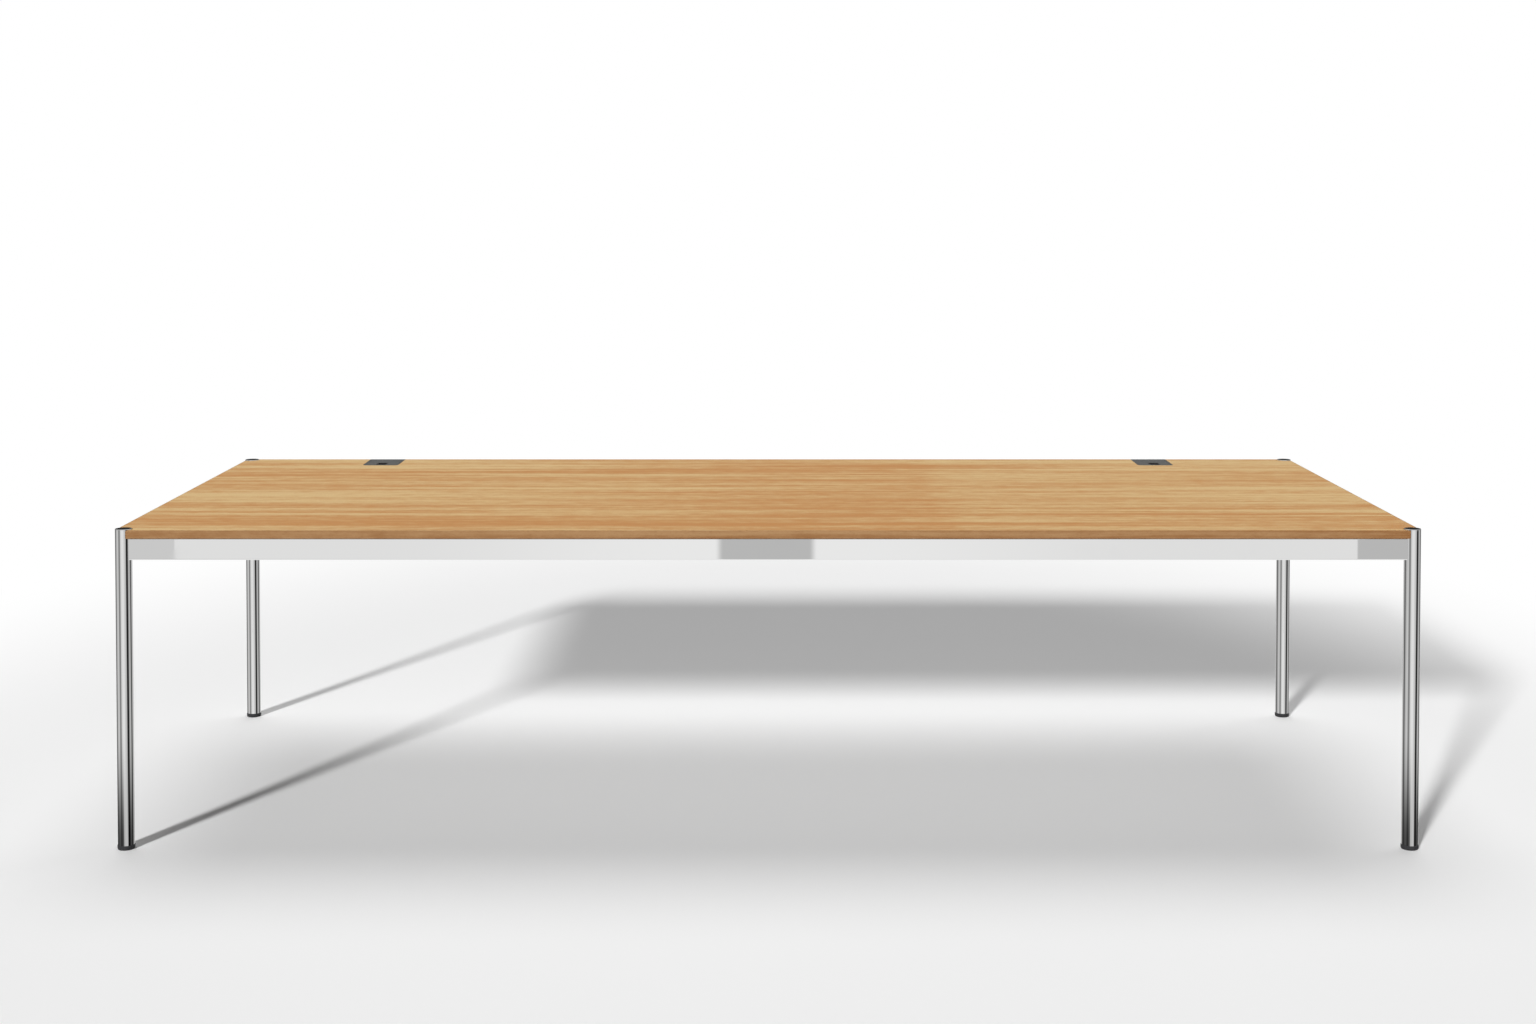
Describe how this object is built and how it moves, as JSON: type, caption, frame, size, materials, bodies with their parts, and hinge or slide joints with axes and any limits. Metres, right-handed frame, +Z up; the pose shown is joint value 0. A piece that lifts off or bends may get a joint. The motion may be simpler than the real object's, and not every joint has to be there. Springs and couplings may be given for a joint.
{
  "type": "modular table",
  "caption": "Long rectangular office table with a wood-veneered top, chromed tube legs and apron rails, lidded cable ports in the rear edge and levelling glides.",
  "frame": {"origin": "on the floor under the middle of the table", "axes": "+X along the table to the right of a person at the front, +Y to the rear edge with the cable ports, +Z up"},
  "size_m": [3.004, 1.254, 0.742],
  "materials": {
    "wood_veneer": "satin lacquer",
    "wood_backing": "matt",
    "wood_core": "raw chipboard",
    "wood_edge": "satin lacquer",
    "chrome_tube": "polished",
    "chrome_rail": "polished",
    "polished_cap": "polished",
    "zinc_plated_steel": "bright zinc",
    "bright_screw_steel": "bright",
    "black_steel": "black oxide",
    "cast_zinc": "as cast",
    "silver_paint": "satin powder coat",
    "graphite_plastic": "fine moulded texture",
    "black_nylon": "moulded",
    "black_rubber": "matt"
  },
  "bodies": {
    "frame": {"backing_veneer": "wood_backing", "board_clips": "zinc_plated_steel", "board_core": "wood_core", "board_screws": "bright_screw_steel", "clip_rail_screws": "bright_screw_steel", "cross_bar_bolts": "black_steel", "cross_bar_left": "silver_paint", "cross_bar_middle": "silver_paint", "cross_bar_plates": "silver_paint", "cross_bar_right": "silver_paint", "draw_bolts": "zinc_plated_steel", "edge_band_front": "wood_edge", "edge_band_left": "wood_edge", "edge_band_rear_left": "wood_edge", "edge_band_rear_middle": "wood_edge", "edge_band_rear_right": "wood_edge", "edge_band_right": "wood_edge", "foot_insert_front_left": "zinc_plated_steel", "foot_insert_front_right": "zinc_plated_steel", "foot_insert_rear_left": "zinc_plated_steel", "foot_insert_rear_right": "zinc_plated_steel", "hinge_pin_left": "zinc_plated_steel", "hinge_pin_right": "zinc_plated_steel", "leg_cap_front_left": "polished_cap", "leg_cap_front_right": "polished_cap", "leg_cap_rear_left": "polished_cap", "leg_cap_rear_right": "polished_cap", "leg_front_left": "chrome_tube", "leg_front_right": "chrome_tube", "leg_nut_bars": "cast_zinc", "leg_rear_left": "chrome_tube", "leg_rear_right": "chrome_tube", "port_screws": "bright_screw_steel", "port_tray_left": "graphite_plastic", "port_tray_right": "graphite_plastic", "rail_end_plugs": "cast_zinc", "rail_front": "chrome_rail", "rail_left": "chrome_rail", "rail_rear": "chrome_rail", "rail_right": "chrome_rail", "rail_set_screws": "black_steel", "rivet_nuts": "zinc_plated_steel", "top_veneer": "wood_veneer"},
    "lid_left": {"port_lid_left": "graphite_plastic", "lid_grommet_left": "black_rubber"},
    "lid_right": {"port_lid_right": "graphite_plastic", "lid_grommet_right": "black_rubber"},
    "sole_front_left": {"floor_sole_front_left": "black_rubber"},
    "glide_front_left": {"glide_stud_front_left": "zinc_plated_steel", "glide_pad_front_left": "black_nylon"},
    "sole_front_right": {"floor_sole_front_right": "black_rubber"},
    "glide_front_right": {"glide_stud_front_right": "zinc_plated_steel", "glide_pad_front_right": "black_nylon"},
    "sole_rear_left": {"floor_sole_rear_left": "black_rubber"},
    "glide_rear_left": {"glide_stud_rear_left": "zinc_plated_steel", "glide_pad_rear_left": "black_nylon"},
    "sole_rear_right": {"floor_sole_rear_right": "black_rubber"},
    "glide_rear_right": {"glide_stud_rear_right": "zinc_plated_steel", "glide_pad_rear_right": "black_nylon"}
  },
  "joints": [
    {"name": "lid_hinge_left", "type": "hinge", "parent": "frame", "child": "lid_left", "pos_m": [-1.094, 0.61704, 0.736], "axis": [-1, 0, 0], "range_deg": [0, 95]},
    {"name": "lid_hinge_right", "type": "hinge", "parent": "frame", "child": "lid_right", "pos_m": [1.094, 0.61704, 0.736], "axis": [-1, 0, 0], "range_deg": [0, 95]},
    {"name": "glide_drop_front_left", "type": "slide", "parent": "frame", "child": "sole_front_left", "axis": [0, 0, -1], "range_m": [0, 0.015]},
    {"name": "glide_turn_front_left", "type": "hinge", "parent": "sole_front_left", "child": "glide_front_left", "pos_m": [-1.482, -0.607, 0], "axis": [0, 0, -1], "range_deg": [0, 3610]},
    {"name": "glide_drop_front_right", "type": "slide", "parent": "frame", "child": "sole_front_right", "axis": [0, 0, -1], "range_m": [0, 0.015]},
    {"name": "glide_turn_front_right", "type": "hinge", "parent": "sole_front_right", "child": "glide_front_right", "pos_m": [1.482, -0.607, 0], "axis": [0, 0, -1], "range_deg": [0, 3610]},
    {"name": "glide_drop_rear_left", "type": "slide", "parent": "frame", "child": "sole_rear_left", "axis": [0, 0, -1], "range_m": [0, 0.015]},
    {"name": "glide_turn_rear_left", "type": "hinge", "parent": "sole_rear_left", "child": "glide_rear_left", "pos_m": [-1.482, 0.607, 0], "axis": [0, 0, -1], "range_deg": [0, 3610]},
    {"name": "glide_drop_rear_right", "type": "slide", "parent": "frame", "child": "sole_rear_right", "axis": [0, 0, -1], "range_m": [0, 0.015]},
    {"name": "glide_turn_rear_right", "type": "hinge", "parent": "sole_rear_right", "child": "glide_rear_right", "pos_m": [1.482, 0.607, 0], "axis": [0, 0, -1], "range_deg": [0, 3610]}
  ],
  "couplings": [
    {"joint": "glide_turn_front_left", "follows": "glide_drop_front_left", "rad_per_m": 4188.8},
    {"joint": "glide_turn_front_right", "follows": "glide_drop_front_right", "rad_per_m": 4188.8},
    {"joint": "glide_turn_rear_left", "follows": "glide_drop_rear_left", "rad_per_m": 4188.8},
    {"joint": "glide_turn_rear_right", "follows": "glide_drop_rear_right", "rad_per_m": 4188.8}
  ]
}
